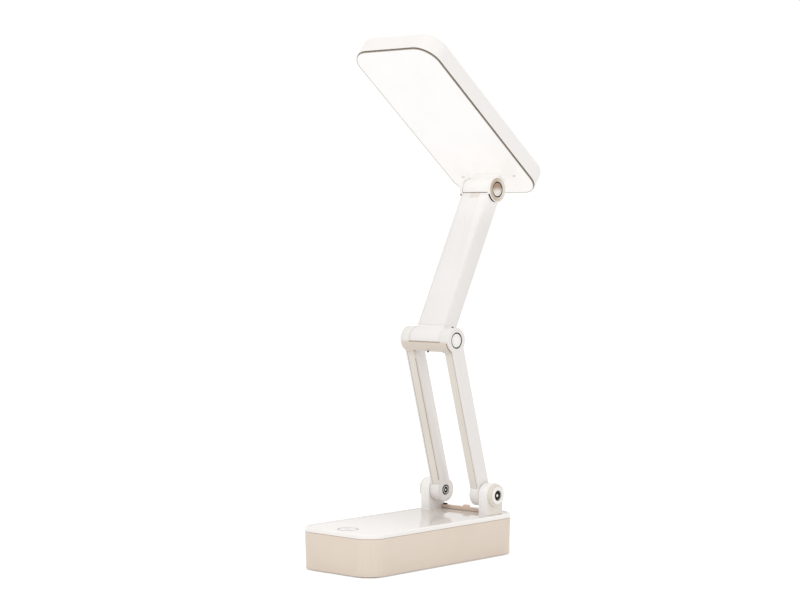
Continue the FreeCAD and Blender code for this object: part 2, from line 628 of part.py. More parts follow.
def make_bushes(joint, place, up, barrel_half):
    bushes = []
    for name, side in LAMP_SIDES:
        near, far = span(side, f"{barrel_half} - bush_long", barrel_half)
        bushes.append(tube(f"{name}_{joint}_bush", "bush_radius", "pin_radius + run_gap", near, far,
                           "x", "0", up))
    keep(group(f"{joint}_friction_bushes", *bushes), f"{joint}_friction_bushes", place)


def make_wires():
    middle_x = "(leg_inner + leg_split) / 2"
    wire = cylinder("right_leg_wire", "wire_radius", "channel_foot", "lower_length - channel_stop",
                    "z", middle_x, "0")
    keep(group("right_leg_lead", wire), "right_leg_lead", lower)
    wire = cylinder("upper_arm_wire", "wire_radius", "channel_foot", "upper_length - channel_stop",
                    "z", "0", "0")
    keep(group("upper_arm_lead", wire), "upper_arm_lead", upper)
    wire = cylinder("head_wire", "wire_radius", "led_back + 1", "-flange_half_y", "y", "0",
                    "spreader_high + 1.1")
    keep(group("head_lead", wire), "head_lead", head)


# Upper arm

def make_upper_back():
    body = new_body("upper_back_shell")
    across = ("-bar_half_wide", "bar_half_wide")
    fork = ("0", "upper_length")
    pad(body, "YZ_Plane", *across, oblong("-bar_half_deep", "bar_half_deep", "0", "upper_length"))
    pad(body, "YZ_Plane", "-fork_outer", "fork_outer", disc(*fork, "fork_radius"))
    for side in (-1, 1):
        round_edges(body, "edge_round", level("X", side * value("fork_outer")))
    pad(body, "YZ_Plane", "-barrel_half", "barrel_half", disc("0", "0", "barrel_radius"))
    front = "bar_half_deep - front_thick"
    inside = "bar_half_wide - bar_lip"
    pocket(body, "XZ_Plane", front, "barrel_radius",
           middle_between(inside, "barrel_radius + gap", "upper_length"))
    pocket(body, "XZ_Plane", "-(bar_half_deep - 2)", front,
           middle_between(f"{inside} - 1.2", "channel_foot", "upper_length - channel_stop"))
    pocket(body, "YZ_Plane", "-fork_inner", "fork_inner", disc(*fork, "fork_notch"))
    pocket(body, "YZ_Plane", "-fork_inner", "fork_inner",
           oblong("-(fork_radius + 1)", "fork_radius + 1",
                  "upper_length - sqrt(fork_notch ^ 2 - bar_half_deep ^ 2)",
                  "upper_length + fork_radius + 1"))
    pocket(body, "YZ_Plane", "-fork_outer", "fork_outer", disc(*fork, "pin_radius"))
    pocket(body, "YZ_Plane", "-barrel_half", "barrel_half", disc("0", "0", "barrel_bore"))
    for side in (-1, 1):
        pocket(body, "YZ_Plane", *span(side, "fork_outer - cap_deep", "fork_outer"),
               disc(*fork, "cap_radius + cap_gap"))
        pocket(body, "YZ_Plane", *span(side, "barrel_half - bush_long", "barrel_half"),
               disc("0", "0", "bush_radius"))
    keep(body, "upper_back_shell", upper)


def make_upper_front():
    """The arm's flat front, hollowed at its end for the knuckle, with a small catch above."""
    body = new_body("upper_front_shell")
    half = "bar_half_wide - bar_lip - gap"
    face = "(bar_half_deep - 0.1)"
    crown = f"(upper_length - sqrt(fork_notch ^ 2 - {face} ^ 2))"
    pad(body, "XZ_Plane", "bar_half_deep - front_thick", face,
        middle_between(half, "barrel_radius + 2 * gap", crown))
    pad(body, "XZ_Plane", f"{face} - 0.5", f"{face} + tab_proud",
        rounded("-tab_half", "tab_half", f"{crown} - tab_tall", f"{crown} - tab_drop",
                "tab_corner"))
    pocket(body, "YZ_Plane", f"-({half})", half, disc("0", "upper_length", "fork_notch"))
    keep(body, "upper_front_shell", upper)


# Lamp head

def head_plan(inset):
    """The head's outline, drawn in by an inset."""
    return rounded(f"-(head_half - {inset})", f"head_half - {inset}", f"head_front + {inset}",
                   f"head_back - {inset}", f"head_corner - {inset}")


def flange_screw_discs(radius):
    return [disc(f"{x} * flange_screw_x", f"{y} * flange_screw_y", radius)
            for x, y in CORNER_SIGNS]


def led_post_places():
    return [(f"{x} * head_post_x", y) for x in (-1, 1) for y in ("led_front + 5", "led_back - 5")]


def make_head_shell():
    body = new_body("head_back_shell")
    pad(body, "XY_Plane", "trim_high", "head_high", head_plan("0"))
    round_edges(body, "head_round", level("Z", value("head_high")))
    pocket(body, "XY_Plane", "trim_high", "head_high - head_wall", head_plan("head_wall"))
    pad(body, "XY_Plane", "flange_high", "head_high - 1", *flange_screw_discs("flange_post_radius"))
    pocket(body, "XY_Plane", "flange_high", "head_high - head_wall - 1",
           *flange_screw_discs("screw_radius"))
    pad(body, "XY_Plane", "spreader_high", "head_high - 1",
        *[disc(x, y, "head_post_radius") for x, y in led_post_places()])
    keep(body, "head_back_shell", head)


def make_head_trim():
    body = new_body("head_trim_ring")
    pad(body, "XY_Plane", "trim_low", "trim_high", head_plan("trim_inset"),
        head_plan("(head_wall + gap)"))
    keep(body, "head_trim_ring", head)


def make_lens():
    """The opal diffuser, whose thin edge covers the trim ring. It is open around the hinge knuckle
    and has a narrow clip slot on either side."""
    body = new_body("diffuser")
    pad(body, "XY_Plane", "lens_low", "trim_low", head_plan("lens_inset"))
    pad(body, "XY_Plane", "trim_low", "lens_high", head_plan("(head_wall + 2 * gap)"))
    pocket(body, "XY_Plane", "lens_low", "lens_high",
           oblong("-(neck_half_wide + 0.3)", "neck_half_wide + 0.3", "-(neck_half + 0.3)",
                  "neck_half + 0.3"))
    slots = [oblong(f"{side} * clip_x - clip_half", f"{side} * clip_x + clip_half",
                    "clip_y - clip_thin", "clip_y + clip_thin") for side in (-1, 1)]
    pocket(body, "XY_Plane", "lens_low", "lens_high", *slots)
    keep(body, "diffuser", head)


def make_head_knuckle():
    body = new_body("head_hinge_knuckle")
    across = ("-neck_half_wide", "neck_half_wide")
    pad(body, "YZ_Plane", *across, disc("0", "0", "neck_radius"))
    pad(body, "YZ_Plane", *across, oblong("-neck_half", "neck_half", "0", "flange_high"))
    pad(body, "XY_Plane", "flange_low", "flange_high",
        middle("flange_half_x", "flange_half_y", "flange_corner"))
    pocket(body, "YZ_Plane", *across, disc("0", "0", "barrel_bore"))
    for side in (-1, 1):
        pocket(body, "YZ_Plane", *span(side, "neck_half_wide - bush_long", "neck_half_wide"),
               disc("0", "0", "bush_radius"))
    pocket(body, "XY_Plane", "flange_low", "flange_high",
           *flange_screw_discs("screw_radius + gap"))
    keep(body, "head_hinge_knuckle", head)


def make_head_screws():
    screws = [screw(f"head_screw_{number}", f"{x} * flange_screw_x", f"{y} * flange_screw_y",
                    "flange_low - 1.6", "flange_low", "head_high - head_wall - 1.2")
              for number, (x, y) in enumerate(CORNER_SIGNS)]
    keep(group("head_screws", *screws), "head_screws", head)


def make_lights():
    across = ("-led_half_x", "led_half_x")
    along = ("led_front", "led_back")
    for name, low, high in (("led_board", "led_board_low", "spreader_low"),
                            ("heat_spreader", "spreader_low", "spreader_high")):
        keep(group(name, block(name + "_sheet", across, along, (low, high))), name, head)
    chips = []
    for column in (-1, 0, 1):
        for line in range(8):
            x = f"{column} * 18"
            y = f"led_front + 9 + {line} * (led_back - led_front - 18) / 7"
            chips.append(block(f"led_{column + 1}_{line}",
                               (f"{x} - led_size / 2", f"{x} + led_size / 2"),
                               (f"{y} - led_size / 2", f"{y} + led_size / 2"),
                               ("led_low", "led_board_low")))
    keep(group("led_chips", *chips), "led_chips", head)


make_foot_pad()
make_tray()
make_cover()
make_panel()
make_touch_switch()
make_power()
make_base_screws()
for side_name, side_sign in LAMP_SIDES:
    make_bracket(side_name, side_sign)
    make_pivot(side_name, side_sign)
    make_leg(side_name, side_sign)
make_tie_bar()
make_front_shell()
make_caps_and_pins("elbow", lower, "lower_length", "leg_inner", "leg_outer", "pin_reach")
make_upper_back()
make_upper_front()
make_bushes("elbow", upper, "0", "barrel_half")
make_caps_and_pins("head", upper, "upper_length", "fork_inner", "fork_outer",
                   "neck_half_wide - bush_long")
make_head_shell()
make_head_trim()
make_lens()
make_head_knuckle()
make_bushes("head", head, "0", "neck_half_wide")
make_head_screws()
make_lights()
make_wires()
doc.recompute()

for thing in doc.Objects:
    if {"Invalid", "Error"} & set(thing.State):
        raise RuntimeError(f"{thing.Name} failed: {thing.State}")
os.makedirs("parts", exist_ok=True)
for thing in pieces:
    shape = thing.Shape
    if shape.isNull() or not shape.isValid() or not shape.Solids:
        raise RuntimeError(f"{thing.Label} has no valid solid")
    shape.exportStep(f"parts/{thing.Label}.step")
    box = shape.BoundBox
    print(f"{thing.Label:24s} solids {len(shape.Solids):2d}  volume {shape.Volume:10.1f}  "
          f"x {box.XMin:7.1f} {box.XMax:7.1f}  y {box.YMin:7.1f} {box.YMax:7.1f}  "
          f"z {box.ZMin:7.1f} {box.ZMax:7.1f}")
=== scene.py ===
import bpy
import json
import math
from mathutils import Matrix, Vector

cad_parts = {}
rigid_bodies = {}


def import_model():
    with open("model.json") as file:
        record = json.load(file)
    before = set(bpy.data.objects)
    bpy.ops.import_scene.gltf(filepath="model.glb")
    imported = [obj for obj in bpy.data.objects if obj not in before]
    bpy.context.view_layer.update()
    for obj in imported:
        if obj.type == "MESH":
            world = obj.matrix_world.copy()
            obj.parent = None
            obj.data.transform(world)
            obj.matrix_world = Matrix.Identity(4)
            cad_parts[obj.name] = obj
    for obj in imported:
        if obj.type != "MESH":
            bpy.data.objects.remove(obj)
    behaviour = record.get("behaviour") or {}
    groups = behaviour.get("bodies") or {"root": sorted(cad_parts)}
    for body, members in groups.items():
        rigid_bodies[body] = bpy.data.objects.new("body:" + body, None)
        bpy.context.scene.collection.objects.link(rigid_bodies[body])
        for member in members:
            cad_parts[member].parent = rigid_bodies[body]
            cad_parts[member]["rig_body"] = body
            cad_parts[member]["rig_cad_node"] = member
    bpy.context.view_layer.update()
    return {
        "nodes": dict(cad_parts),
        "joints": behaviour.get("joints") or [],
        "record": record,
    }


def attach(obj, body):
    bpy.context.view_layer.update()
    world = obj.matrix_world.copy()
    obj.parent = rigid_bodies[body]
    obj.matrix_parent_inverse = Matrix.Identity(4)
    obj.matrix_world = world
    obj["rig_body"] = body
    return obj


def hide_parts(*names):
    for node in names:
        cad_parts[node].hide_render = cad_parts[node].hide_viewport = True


# Folding desk lamp: a beige base under a white cover, two arms and a lit head.
# Metres, +Z up, front at -Y; sizes in the dictionaries are millimetres unless a note says.

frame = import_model()
nodes = frame["nodes"]
nodeSlots = {part["node"]: part["material_slot"] for part in frame["record"]["subparts"]}
hinges = {joint["name"]: Vector(joint["pos_m"]) for joint in frame["joints"]}
nodeBodies = {node: body for body, members in frame["record"]["behaviour"]["bodies"].items()
              for node in members}
mm = 0.001
lampSides = (("left", -1), ("right", 1))
trimSlot = "tan_plastic"  # the record's slot for thin trim that has a finish of its own
smoothBelow = 35  # degrees between faces
finishes = {}
print("frame loaded:", len(nodes), "nodes")


# Helpers for modelling

def clearSelection():
    if bpy.context.object and bpy.context.object.mode != "OBJECT":
        bpy.ops.object.mode_set(mode="OBJECT")
    bpy.ops.object.select_all(action="DESELECT")


def onlySelect(item):
    clearSelection()
    item.select_set(True)
    bpy.context.view_layer.objects.active = item


def applyModifier(item, kind, **settings):
    onlySelect(item)
    modifier = item.modifiers.new(kind.title(), kind)
    for key, setting in settings.items():
        setattr(modifier, key, setting)
    bpy.ops.object.modifier_apply(modifier=modifier.name)


def applyPlace(item):
    onlySelect(item)
    bpy.ops.object.transform_apply(location=True, rotation=True, scale=True)


def pickIn(item, kind, wanted):
    # selects the faces, edges or vertices of a mesh that pass a test, and stays in edit mode
    onlySelect(item)
    bpy.ops.object.mode_set(mode="EDIT")
    bpy.ops.mesh.select_mode(type=kind)
    bpy.ops.mesh.select_all(action="DESELECT")
    bpy.ops.object.mode_set(mode="OBJECT")
    parts = {"FACE": item.data.polygons, "EDGE": item.data.edges, "VERT": item.data.vertices}[kind]
    for part in parts:
        part.select = wanted(part)
    bpy.ops.object.mode_set(mode="EDIT")


def faceOutwards(item):
    onlySelect(item)
    bpy.ops.object.mode_set(mode="EDIT")
    bpy.ops.mesh.select_all(action="SELECT")
    bpy.ops.mesh.normals_make_consistent(inside=False)
    bpy.ops.object.mode_set(mode="OBJECT")


def softRim(item, width, segments=2, angle=38):
    applyModifier(item, "BEVEL", width=width, segments=segments, limit_method="ANGLE",
                  angle_limit=math.radians(angle), miter_outer="MITER_ARC", use_clamp_overlap=True)


def finishPiece(item, name, body, slot, finish=None):
    applyPlace(item)
    item.name = item.data.name = name
    bpy.ops.object.shade_smooth_by_angle(angle=math.radians(smoothBelow))
    item.data.materials.clear()
    item.data.materials.append(finishes[finish or slot])
    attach(item, body)


# Finishes

def startMaterial(name):
    material = bpy.data.materials.new(name)
    material.use_nodes = True
    return material, material.node_tree.nodes, material.node_tree.links


def noiseFrom(tree, links, source, scale, detail=2.0, stretch=(1, 1, 1)):
    mapping = tree.new("ShaderNodeMapping")
    mapping.inputs["Scale"].default_value = stretch
    noise = tree.new("ShaderNodeTexNoise")
    noise.inputs["Scale"].default_value = scale
    noise.inputs["Detail"].default_value = detail
    links.new(source, mapping.inputs["Vector"])
    links.new(mapping.outputs["Vector"], noise.inputs["Vector"])
    return noise.outputs["Fac"]


def rangeFrom(tree, links, source, low, high, sourceLow=0.35, sourceHigh=0.65):
    # a smooth step from low to high, by default over the middle of a noise
    spread = tree.new("ShaderNodeMapRange")
    spread.interpolation_type = "SMOOTHSTEP"
    spread.inputs["From Min"].default_value = sourceLow
    spread.inputs["From Max"].default_value = sourceHigh
    spread.inputs["To Min"].default_value = low
    spread.inputs["To Max"].default_value = high
    links.new(source, spread.inputs["Value"])
    return spread.outputs["Result"]


def blendColours(tree, links, factor, first, second):
    mix = tree.new("ShaderNodeMix")
    mix.data_type = "RGBA"
    links.new(factor, mix.inputs["Factor"])
    for socket, colour in (("A", first), ("B", second)):
        target = [s for s in mix.inputs if s.name == socket and s.type == "RGBA"][0]
        if isinstance(colour, bpy.types.NodeSocket):
            links.new(colour, target)
        else:
            target.default_value = (*colour, 1)
    return [s for s in mix.outputs if s.type == "RGBA"][0]


def bumpFrom(tree, links, height, depth):
    bump = tree.new("ShaderNodeBump")
    bump.inputs["Strength"].default_value = 1
    bump.inputs["Distance"].default_value = depth
    links.new(height, bump.inputs["Height"])
    return bump.outputs["Normal"]


def alongAxis(tree, links, place, fade):
    # 0 before a stretch of the object and 1 after it, the same on both sides for X
    split = tree.new("ShaderNodeSeparateXYZ")
    links.new(place, split.inputs["Vector"])
    reach = split.outputs[fade["axis"]]
    if fade["axis"] == "X":
        size = tree.new("ShaderNodeMath")
        size.operation = "ABSOLUTE"
        links.new(reach, size.inputs[0])
        reach = size.outputs[0]
    return rangeFrom(tree, links, reach, 0, 1, *fade["stretch"])


usualLook = {"stretch": (1, 1, 1), "driftScale": 28, "patchScale": 160, "grainScale": 2600,
             "grainDepth": 0.00002, "fades": (), "metallic": 0, "coat": 0, "coatRoughness": 0.08,
             "specular": 0.5}  # what a look below doesn't say


def surface(name, look):
    # one moulded, cast or drawn finish: tone drifts slowly, roughness in patches, grain as bump
    material, tree, links = startMaterial(name)
    shader = tree["Principled BSDF"]
    place = tree.new("ShaderNodeTexCoord").outputs["Object"]
    look = {**usualLook, **look}
    drift = noiseFrom(tree, links, place, look["driftScale"], 3, look["stretch"])
    patches = noiseFrom(tree, links, place, look["patchScale"], 2, look["stretch"])
    grain = noiseFrom(tree, links, place, look["grainScale"], 2, look["stretch"])
    tone = blendColours(tree, links, rangeFrom(tree, links, drift, 0, 1), look["colour"],
                        look["second"])
    for fade in look["fades"]:
        tone = blendColours(tree, links, alongAxis(tree, links, place, fade), tone,
                            fade["colour"])
    links.new(tone, shader.inputs["Base Color"])
    links.new(rangeFrom(tree, links, patches, *look["roughness"]), shader.inputs["Roughness"])
    links.new(bumpFrom(tree, links, grain, look["grainDepth"]), shader.inputs["Normal"])
    shader.inputs["Metallic"].default_value = look["metallic"]
    shader.inputs["Coat Weight"].default_value = look["coat"]
    shader.inputs["Coat Roughness"].default_value = look["coatRoughness"]
    shader.inputs["Specular IOR Level"].default_value = look["specular"]
    return material


beigeLook = {"colour": (0.755, 0.652, 0.555), "second": (0.770, 0.668, 0.572),
             "roughness": (0.42, 0.50), "grainDepth": 0.000025}
coverLook = {"colour": (0.935, 0.898, 0.868), "second": (0.945, 0.912, 0.884),
             "roughness": (0.20, 0.27), "grainDepth": 0.000006, "coat": 0.25}
# painted reflection: the gloss panel darkens towards its rear (+Y), standing in for the dimmer
# surroundings it mirrors there
panelLook = {"colour": (0.880, 0.845, 0.820), "second": (0.890, 0.857, 0.833),
             "roughness": (0.045, 0.07), "grainDepth": 0.000001,
             "fades": [{"axis": "Y", "stretch": (-0.075, 0.045), "colour": (0.660, 0.610, 0.575)}]}
# painted shade: the arm's white turns darker more than 12.4-13.2 mm out from the middle; painted
# light: it turns paler above 240-264 mm, towards the head hinge
armLook = {"colour": (0.862, 0.832, 0.815), "second": (0.874, 0.846, 0.830),
           "roughness": (0.34, 0.42), "grainDepth": 0.000012,
           "fades": [{"axis": "X", "stretch": (0.0124, 0.0132), "colour": (0.838, 0.808, 0.788)},
                     {"axis": "Z", "stretch": (0.240, 0.264), "colour": (0.935, 0.908, 0.890)}]}
# painted shade: the lower arm's front faces get a darker, warmer copy of the arm's white, darker
# again above 55-105 mm and tan above 146-156 mm, across the elbow band that faces down
shadedFrontLook = {"colour": (0.838, 0.794, 0.730), "second": (0.850, 0.808, 0.746),
             "roughness": (0.36, 0.44), "grainDepth": 0.000012,
             "fades": [{"axis": "Z", "stretch": (0.055, 0.105), "colour": (0.782, 0.733, 0.672)},
                       {"axis": "Z", "stretch": (0.146, 0.156), "colour": (0.722, 0.634, 0.556)}]}
# painted shade: the hub's side ring, from 32-32.6 mm out along X, is tan; the hub's face, past
# 35.2-35.8 mm, is pale again
bracketLook = {"colour": (0.900, 0.878, 0.860), "second": (0.910, 0.890, 0.874),
               "roughness": (0.24, 0.30), "grainDepth": 0.000006, "coat": 0.2,
               "fades": [{"axis": "X", "stretch": (0.032, 0.0326), "colour": (0.770, 0.725, 0.655)},
                         {"axis": "X", "stretch": (0.0352, 0.0358),
                          "colour": (0.905, 0.885, 0.860)}]}
headLook = {"colour": (0.900, 0.875, 0.855), "second": (0.910, 0.888, 0.870),
            "roughness": (0.30, 0.33), "grainDepth": 0.000002, "coat": 0.1}
# painted shadow: a dark warm brown for the strips that sit in the gaps of the lower arm, the elbow
# and the base
warmSeamShadeLook = {"colour": (0.360, 0.270, 0.205), "second": (0.400, 0.305, 0.235),
                "specular": 0.2, "roughness": (0.50, 0.60), "grainDepth": 0.000006}
# painted light: a brighter copy of the head's white for the knuckle beside the lit diffuser
litNeckLook = {"colour": (0.975, 0.955, 0.940), "second": (0.980, 0.963, 0.950),
            "roughness": (0.30, 0.33), "grainDepth": 0.000002, "coat": 0.1}
# painted shade: the dark grey-brown of the head's outline lines and corners, which stand in for the
# shadow gap round the face; the two clips share it
clipAndOutlineShadeLook = {"colour": (0.420, 0.370, 0.330), "second": (0.460, 0.410, 0.370),
            "roughness": (0.40, 0.50), "grainDepth": 0.000004}
tabLook = {"colour": (0.820, 0.760, 0.700), "second": (0.835, 0.778, 0.720),
           "roughness": (0.34, 0.42), "grainDepth": 0.000008}
capLook = {"colour": (0.925, 0.908, 0.872), "second": (0.935, 0.920, 0.888),
           "roughness": (0.18, 0.24), "grainDepth": 0.000005, "coat": 0.3}
# painted reflection: the head's hinge caps turn brown above 268.5-272.5 mm, standing in for the
# dark trim they mirror
capReflectionLook = {"colour": (0.840, 0.800, 0.745), "second": (0.860, 0.825, 0.775),
            "roughness": (0.22, 0.30), "grainDepth": 0.000006, "coat": 0.3,
            "fades": [{"axis": "Z", "stretch": (0.2685, 0.2725), "colour": (0.420, 0.290, 0.190)}]}
# painted shade on the ear faces: brown, turning pale beyond 77-92 mm along Y
earShadeLook = {"colour": (0.560, 0.460, 0.345), "second": (0.590, 0.490, 0.375),
           "roughness": (0.26, 0.34), "grainDepth": 0.000006, "coat": 0.2,
           "fades": [{"axis": "Y", "stretch": (0.077, 0.092), "colour": (0.860, 0.810, 0.750)}]}
tanLook = {"colour": (0.700, 0.545, 0.445), "second": (0.720, 0.570, 0.470),
           "roughness": (0.30, 0.38), "grainDepth": 0.000015}
# painted shadow: the head's trim ring is near black-brown, standing in for the shadow gap between
# shell and diffuser
trimShadowLook = {"colour": (0.160, 0.115, 0.075), "second": (0.200, 0.150, 0.100),
            "roughness": (0.30, 0.40), "metallic": 0.3, "grainDepth": 0.000006}
printLook = {"colour": (0.300, 0.285, 0.275), "second": (0.360, 0.345, 0.335),
             "roughness": (0.25, 0.35), "grainDepth": 0.000003}
rubberLook = {"colour": (0.045, 0.045, 0.045), "second": (0.070, 0.069, 0.068),
              "roughness": (0.72, 0.86), "grainScale": 1500, "grainDepth": 0.00008}
steelLook = {"colour": (0.560, 0.550, 0.540), "second": (0.640, 0.630, 0.620), "metallic": 1,
             "roughness": (0.24, 0.36), "stretch": (1, 1, 9), "grainDepth": 0.000006}
ballastLook = {"colour": (0.300, 0.300, 0.305), "second": (0.380, 0.380, 0.385), "metallic": 1,
               "roughness": (0.40, 0.55), "stretch": (9, 1, 1), "grainDepth": 0.00001}
# near black: the nuts and pivot screws in it also stand in for the shade in their recesses, and the
# ear strips in it are painted shadow
darkSteelAndShadowLook = {"colour": (0.006, 0.005, 0.005), "second": (0.012, 0.010, 0.009),
                 "specular": 0.12, "roughness": (0.40, 0.52), "grainDepth": 0.000008}
# painted shadow: dark brown for the line in the gap between the head's knuckle and the arm
seamShadeLook = {"colour": (0.150, 0.105, 0.075), "second": (0.190, 0.140, 0.105), "specular": 0.2,
            "roughness": (0.50, 0.60), "grainDepth": 0.000006}
brassLook = {"colour": (0.720, 0.550, 0.280), "second": (0.780, 0.620, 0.340), "metallic": 1,
             "roughness": (0.25, 0.40), "grainDepth": 0.000006}
nylonLook = {"colour": (0.250, 0.240, 0.230), "second": (0.310, 0.300, 0.290),
             "roughness": (0.45, 0.60), "grainDepth": 0.000015}
wireLook = {"colour": (0.620, 0.610, 0.600), "second": (0.700, 0.690, 0.680),
            "roughness": (0.45, 0.55), "grainDepth": 0.00001}
cellLook = {"colour": (0.060, 0.180, 0.420), "second": (0.090, 0.230, 0.480),
            "roughness": (0.22, 0.35), "coat": 0.3}
foamLook = {"colour": (0.050, 0.050, 0.053), "second": (0.085, 0.085, 0.090),
            "roughness": (0.85, 0.95), "grainScale": 900, "grainDepth": 0.00025}
sheetLook = {"colour": (0.720, 0.720, 0.725), "second": (0.800, 0.800, 0.805), "metallic": 1,
             "roughness": (0.35, 0.48), "stretch": (14, 1, 1), "grainDepth": 0.00001}
phosphorLook = {"colour": (0.900, 0.760, 0.300), "second": (0.930, 0.820, 0.420),
                "roughness": (0.25, 0.40)}

for slot, look in (("beige_plastic", beigeLook), ("white_cover", coverLook),
                   ("gloss_panel", panelLook), ("white_arm", armLook), ("warm_front", shadedFrontLook),
                   ("hinge_plastic", bracketLook), ("white_head", headLook),
                   ("hinge_cap", capLook), ("champagne_cap", capReflectionLook), ("ear_face", earShadeLook),
                   ("seam_line", seamShadeLook), ("neck_white", litNeckLook), ("clip_grey", clipAndOutlineShadeLook),
                   ("seam_warm", warmSeamShadeLook), ("tab_warm", tabLook),
                   ("tan_plastic", tanLook), ("champagne_trim", trimShadowLook),
                   ("touch_print", printLook), ("rubber_pad", rubberLook),
                   ("screw_steel", steelLook), ("pin_steel", steelLook),
                   ("port_steel", steelLook), ("ballast_steel", ballastLook),
                   ("dark_steel", darkSteelAndShadowLook), ("brass_contact", brassLook),
                   ("washer_nylon", nylonLook), ("wire_sleeve", wireLook),
                   ("battery_can", cellLook), ("foam_saddle", foamLook),
                   ("aluminium_sheet", sheetLook), ("led_phosphor", phosphorLook)):
    finishes[slot] = surface(slot, look)


boardLook = {"mask": (0.020, 0.130, 0.070), "track": (0.045, 0.210, 0.110), "trackWidth": 0.0012,
             "trackShare": 0.06, "trackDepth": 0.00003, "patchScale": 300, "roughness": (0.25, 0.4)}


def circuitBoard(name, look):
    # solder mask with the tracks under it standing slightly proud
    material, tree, links = startMaterial(name)
    shader = tree["Principled BSDF"]
    place = tree.new("ShaderNodeTexCoord").outputs["Object"]
    tracks = tree.new("ShaderNodeTexBrick")
    tracks.inputs["Scale"].default_value = 0.25 / look["trackWidth"]
    tracks.inputs["Mortar Size"].default_value = look["trackShare"]
    tracks.inputs["Color1"].default_value = (*look["mask"], 1)
    tracks.inputs["Color2"].default_value = (*look["mask"], 1)
    tracks.inputs["Mortar"].default_value = (*look["track"], 1)
    links.new(place, tracks.inputs["Vector"])
    links.new(tracks.outputs["Color"], shader.inputs["Base Color"])
    links.new(bumpFrom(tree, links, tracks.outputs["Fac"], look["trackDepth"]),
              shader.inputs["Normal"])
    patches = noiseFrom(tree, links, place, look["patchScale"])
    links.new(rangeFrom(tree, links, patches, *look["roughness"]), shader.inputs["Roughness"])
    return material


finishes["circuit_board"] = circuitBoard("circuit_board", boardLook)


opalLook = {"colour": (0.40, 0.395, 0.39), "glow": (1.0, 0.992, 0.982),
            "warm": (1.0, 0.965, 0.935), "strength": (0.565, 0.585), "roughness": (0.30, 0.38),
            "hazeScale": 45, "grainScale": 3200, "grainDepth": 0.000008,
            "fade": {"axis": "Y", "stretch": (0.030, 0.085)}}


def opalSheet(name, look):
    # an evenly lit sheet, a little warmer where it nears the hinge
    material, tree, links = startMaterial(name)
    shader = tree["Principled BSDF"]
    place = tree.new("ShaderNodeTexCoord").outputs["Object"]
    haze = noiseFrom(tree, links, place, look["hazeScale"])
    grain = noiseFrom(tree, links, place, look["grainScale"])
    links.new(rangeFrom(tree, links, haze, *look["strength"]), shader.inputs["Emission Strength"])
    links.new(rangeFrom(tree, links, haze, *look["roughness"]), shader.inputs["Roughness"])
    links.new(bumpFrom(tree, links, grain, look["grainDepth"]), shader.inputs["Normal"])
    links.new(blendColours(tree, links, alongAxis(tree, links, place, look["fade"]), look["glow"],
                           look["warm"]), shader.inputs["Emission Color"])
    shader.inputs["Base Color"].default_value = (*look["colour"], 1)
    return material


finishes["opal_diffuser"] = opalSheet("opal_diffuser", opalLook)

for name, node in nodes.items():
    node.data.materials.clear()
    node.data.materials.append(finishes[nodeSlots[name]])
print("finishes:", len(finishes))


# Shells with their moulded edge radii

edgeRadii = {  # millimetres
    "lower_front_shell": 0.45, "left_leg_shell": 0.3, "right_leg_shell": 0.3,
    "upper_back_shell": 0.45, "upper_front_shell": 0.3, "left_hinge_bracket": 0.45,
    "right_hinge_bracket": 0.45, "head_hinge_knuckle": 0.35, "base_tray": 0.3,
    "base_cover": 0.25, "hinge_tie_bar": 0.3}
shellFinishes = {"head_hinge_knuckle": "neck_white"}  # where it isn't the slot's usual one; the knuckle's is a brighter copy of the head's white, painted light next to the lit diffuser
shellCleaning = {"merge": 1e-6, "flat": 0.4}  # metres between points, degrees between faces


def pieceName(node):
    first, *rest = node.split("_")
    return first + "".join(word.title() for word in rest)


def softenShell(node, radius):
    onlySelect(nodes[node])
    bpy.ops.object.duplicate()
    shell = bpy.context.object
    shell.parent = None
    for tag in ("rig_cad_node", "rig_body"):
        del shell[tag]
    bpy.ops.mesh.customdata_custom_splitnormals_clear()
    bpy.ops.object.mode_set(mode="EDIT")
    bpy.ops.mesh.select_all(action="SELECT")
    bpy.ops.mesh.remove_doubles(threshold=shellCleaning["merge"])
    bpy.ops.mesh.dissolve_limited(angle_limit=math.radians(shellCleaning["flat"]))
    bpy.ops.object.mode_set(mode="OBJECT")
    softRim(shell, radius * mm)
    finishPiece(shell, pieceName(node), nodeBodies[node], nodeSlots[node], shellFinishes.get(node))
    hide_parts(node)


for node, radius in edgeRadii.items():
    softenShell(node, radius)
print("shells softened:", len(edgeRadii))


# Flat rings and curved strips round the hinges, many of them painted shade

thinRim = 0.3  # what the soft rims of a thin piece take of its thickness


def makeRing(name, centre, ring, body, slot, finish=None):
    clearSelection()
    bpy.ops.mesh.primitive_circle_add(vertices=72, radius=ring["inner"] * mm, location=centre,
                                      rotation=(0, math.pi / 2, 0))
    item = bpy.context.object
    bpy.ops.object.mode_set(mode="EDIT")
    bpy.ops.mesh.select_all(action="SELECT")
    bpy.ops.mesh.extrude_edges_move()
    bpy.ops.transform.resize(value=[ring["outer"] / ring["inner"]] * 3, center_override=centre)
    applyPlace(item)
    applyModifier(item, "SOLIDIFY", thickness=ring["thick"] * mm, offset=0)
    softRim(item, ring["thick"] * mm * thinRim)
    finishPiece(item, name, body, slot, finish)


earShadeRing = {"inner": 6.0, "outer": 8.75, "thick": 0.12, "out": 14.83}  # painted shade: a thin brown ring on each ear's face, pale along Y

for name, side in lampSides:
    makeRing(name + "EarFace", hinges["head_hinge"] + Vector((side * earShadeRing["out"] * mm, 0, 0)),
             earShadeRing, "upper_arm", "champagne_cap", "ear_face")
print("ear faces made")

earShadow = {"inner": 9.32, "thick": 0.34, "near": 13.25, "far": 14.35,
             "start": 200, "end": 254, "round": 0.1}  # dark strip in the rim, in degrees from +Y


